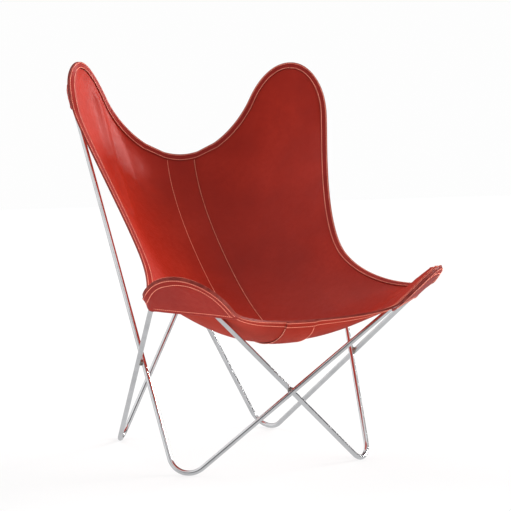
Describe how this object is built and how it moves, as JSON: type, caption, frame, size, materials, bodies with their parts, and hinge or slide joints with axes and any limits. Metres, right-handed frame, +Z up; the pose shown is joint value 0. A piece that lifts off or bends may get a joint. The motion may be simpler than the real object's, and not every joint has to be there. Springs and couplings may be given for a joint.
{
  "type": "butterfly sling chair",
  "caption": "Lounge chair with a leather butterfly sling whose pockets hang on the tips of a crossed frame of bent steel rod.",
  "frame": {"origin": "on the floor, under the middle of the chair's bounding box", "axes": "+Z up, -Y the way the sitter faces, +X to the right as seen from the front"},
  "size_m": [0.7444, 0.8422, 0.957],
  "materials": {
    "steel": "polished",
    "weld": "ground smooth",
    "sling_leather": "smooth, slight sheen",
    "edge_leather": "smooth, stitched",
    "pocket_leather": "matt flesh side"
  },
  "bodies": {
    "root": {"frame_rod_outer": "steel", "frame_rod_inner": "steel", "weld_front": "weld", "weld_back": "weld", "weld_left": "weld", "weld_right": "weld", "sling_half_left": "sling_leather", "sling_half_right": "sling_leather", "edge_strip_top": "edge_leather", "edge_strip_front": "edge_leather", "edge_strip_left": "edge_leather", "edge_strip_right": "edge_leather", "pocket_high_left": "pocket_leather", "pocket_high_right": "pocket_leather", "pocket_low_left": "pocket_leather", "pocket_low_right": "pocket_leather"}
  },
  "joints": []
}
